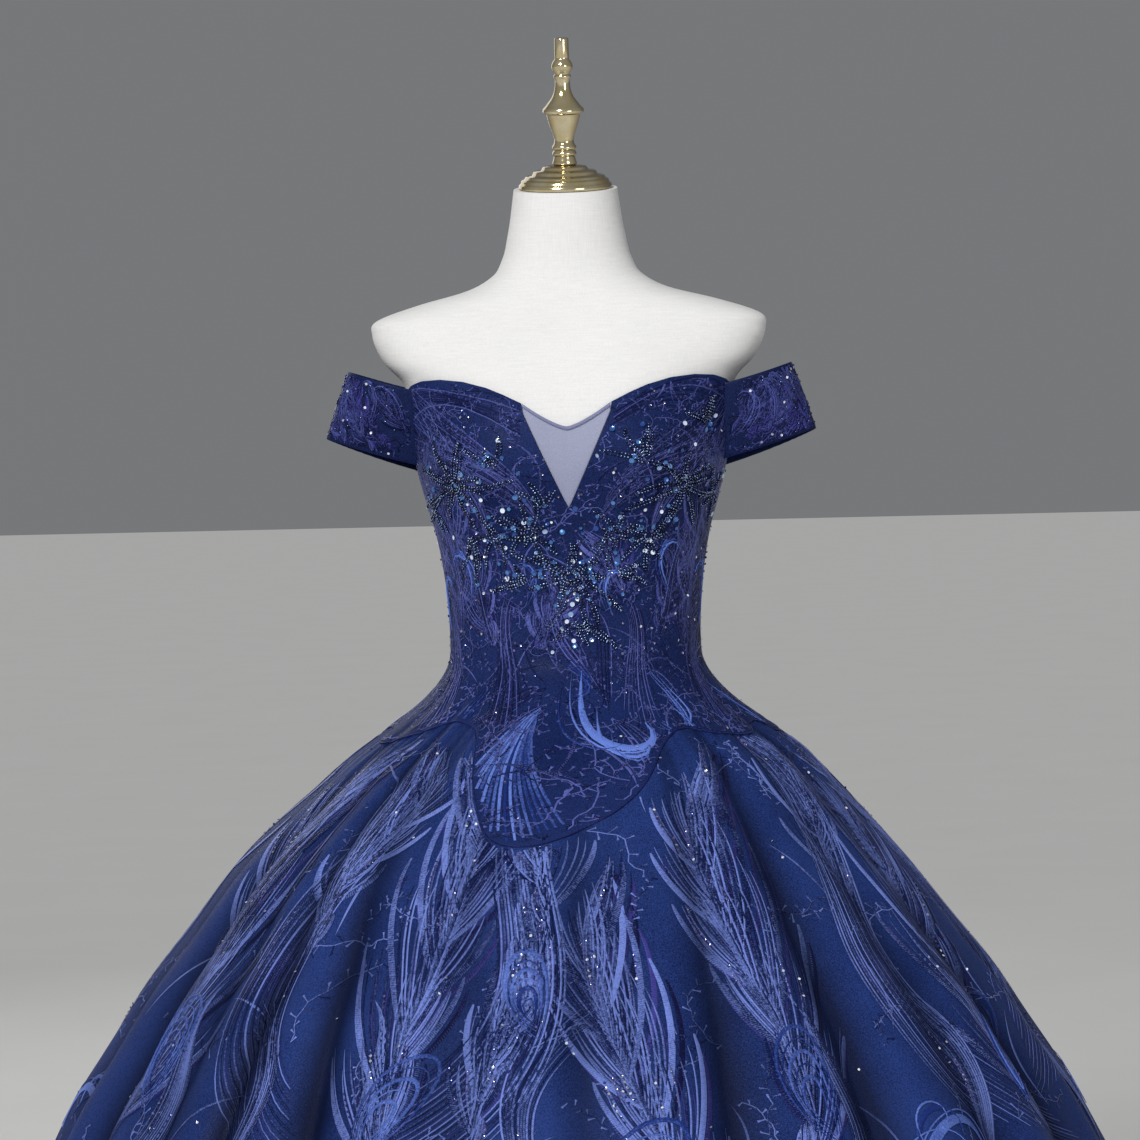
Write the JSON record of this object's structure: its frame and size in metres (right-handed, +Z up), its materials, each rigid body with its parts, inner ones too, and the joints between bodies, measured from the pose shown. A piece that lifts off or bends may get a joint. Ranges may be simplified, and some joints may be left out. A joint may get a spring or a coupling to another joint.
{
  "type": "evening gown on dress form",
  "caption": "Off-shoulder full-length evening gown with sweetheart bodice, sheer V insert and full gathered skirt, on a limbless dress form with stand.",
  "frame": {"origin": "centre of the stand base's flat underside, on the floor", "axes": "+Z up the stand, -Y out of the gown's front, +X towards the wearer's left"},
  "size_m": [1.4914, 1.4753, 1.6775],
  "materials": {
    "bodice_satin": "satin",
    "skirt_satin": "satin",
    "lace": "embroidered net",
    "illusion_mesh": "sheer",
    "linen": "matte weave",
    "polished_gold": "polished",
    "dark_steel": "satin",
    "zip_metal": "satin"
  },
  "bodies": {
    "gown": {"form_torso": "linen", "neck_cap": "polished_gold", "finial": "polished_gold", "stand_pole": "dark_steel", "stand_base": "dark_steel", "bodice_front": "bodice_satin", "bodice_side_left": "bodice_satin", "bodice_side_right": "bodice_satin", "bodice_back_left": "bodice_satin", "bodice_back_right": "bodice_satin", "mesh_insert": "illusion_mesh", "mesh_binding": "illusion_mesh", "sleeve_left": "bodice_satin", "sleeve_right": "bodice_satin", "basque_front": "lace", "basque_left": "lace", "basque_right": "lace", "skirt_front": "skirt_satin", "skirt_side_left": "skirt_satin", "skirt_side_right": "skirt_satin", "skirt_back_left": "skirt_satin", "skirt_back_right": "skirt_satin", "zip_slider": "zip_metal"},
    "pull_tab": {"zip_pull": "zip_metal"}
  },
  "joints": [
    {"name": "pull_tab_hinge", "type": "hinge", "parent": "gown", "child": "pull_tab", "pos_m": [0, 0.10972, 1.296], "axis": [1, 0, 0], "range_deg": [0, 140]}
  ]
}
